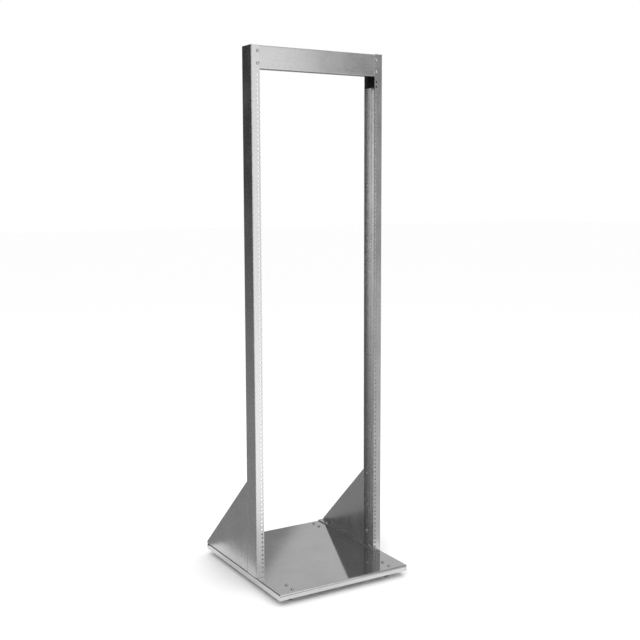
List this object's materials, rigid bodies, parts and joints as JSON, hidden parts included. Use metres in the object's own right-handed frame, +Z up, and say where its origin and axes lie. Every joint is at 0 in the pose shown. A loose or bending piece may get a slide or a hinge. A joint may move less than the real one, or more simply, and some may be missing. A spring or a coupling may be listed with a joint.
{
  "type": "two-post equipment rack",
  "caption": "Free-standing two-post open equipment rack: channel uprights and a top crossbar bolted to a gusseted sheet-metal base on levelling feet.",
  "frame": {"origin": "on the floor, under the middle of the base", "axes": "+Z up the posts, the rack's front towards -Y, +X to the right seen from the front"},
  "size_m": [0.5144, 0.5716, 1.831],
  "materials": {
    "satin_metal": "satin, softly mirroring",
    "zinc_steel": "bright zinc plate",
    "black_plastic": "moulded, low gloss",
    "black_rubber": "matt"
  },
  "bodies": {
    "rack": {"base_tray": "satin_metal", "cable_clip": "black_plastic", "crossbar_nut_left_lower": "zinc_steel", "crossbar_nut_left_upper": "zinc_steel", "crossbar_nut_right_lower": "zinc_steel", "crossbar_nut_right_upper": "zinc_steel", "crossbar_screw_left_lower": "zinc_steel", "crossbar_screw_left_upper": "zinc_steel", "crossbar_screw_right_lower": "zinc_steel", "crossbar_screw_right_upper": "zinc_steel", "foot_screw_front_left_inner": "zinc_steel", "foot_screw_front_left_outer": "zinc_steel", "foot_screw_front_right_inner": "zinc_steel", "foot_screw_front_right_outer": "zinc_steel", "foot_screw_rear_left_inner": "zinc_steel", "foot_screw_rear_left_outer": "zinc_steel", "foot_screw_rear_right_inner": "zinc_steel", "foot_screw_rear_right_outer": "zinc_steel", "foot_socket_front_left": "zinc_steel", "foot_socket_front_right": "zinc_steel", "foot_socket_rear_left": "zinc_steel", "foot_socket_rear_right": "zinc_steel", "gusset_base_nut_left_front": "zinc_steel", "gusset_base_nut_left_rear": "zinc_steel", "gusset_base_nut_right_front": "zinc_steel", "gusset_base_nut_right_rear": "zinc_steel", "gusset_base_screw_left_front": "zinc_steel", "gusset_base_screw_left_rear": "zinc_steel", "gusset_base_screw_right_front": "zinc_steel", "gusset_base_screw_right_rear": "zinc_steel", "gusset_left": "satin_metal", "gusset_post_nut_left_lower": "zinc_steel", "gusset_post_nut_left_upper": "zinc_steel", "gusset_post_nut_right_lower": "zinc_steel", "gusset_post_nut_right_upper": "zinc_steel", "gusset_post_screw_left_lower": "zinc_steel", "gusset_post_screw_left_upper": "zinc_steel", "gusset_post_screw_right_lower": "zinc_steel", "gusset_post_screw_right_upper": "zinc_steel", "gusset_right": "satin_metal", "lock_nut_front_left": "zinc_steel", "lock_nut_front_right": "zinc_steel", "lock_nut_rear_left": "zinc_steel", "lock_nut_rear_right": "zinc_steel", "top_crossbar": "satin_metal", "upright_bolt_left_front": "zinc_steel", "upright_bolt_left_rear": "zinc_steel", "upright_bolt_right_front": "zinc_steel", "upright_bolt_right_rear": "zinc_steel", "upright_left": "satin_metal", "upright_nut_left_front": "zinc_steel", "upright_nut_left_rear": "zinc_steel", "upright_nut_right_front": "zinc_steel", "upright_nut_right_rear": "zinc_steel", "upright_right": "satin_metal"},
    "levelling_foot_front_left": {"levelling_foot_front_left": "black_rubber"},
    "levelling_foot_front_right": {"levelling_foot_front_right": "black_rubber"},
    "levelling_foot_rear_left": {"levelling_foot_rear_left": "black_rubber"},
    "levelling_foot_rear_right": {"levelling_foot_rear_right": "black_rubber"}
  },
  "joints": [
    {"name": "level_front_left", "type": "slide", "parent": "rack", "child": "levelling_foot_front_left", "axis": [0, 0, 1], "range_m": [-0.006, 0.0045]},
    {"name": "level_front_right", "type": "slide", "parent": "rack", "child": "levelling_foot_front_right", "axis": [0, 0, 1], "range_m": [-0.006, 0.0045]},
    {"name": "level_rear_left", "type": "slide", "parent": "rack", "child": "levelling_foot_rear_left", "axis": [0, 0, 1], "range_m": [-0.006, 0.0045]},
    {"name": "level_rear_right", "type": "slide", "parent": "rack", "child": "levelling_foot_rear_right", "axis": [0, 0, 1], "range_m": [-0.006, 0.0045]}
  ]
}
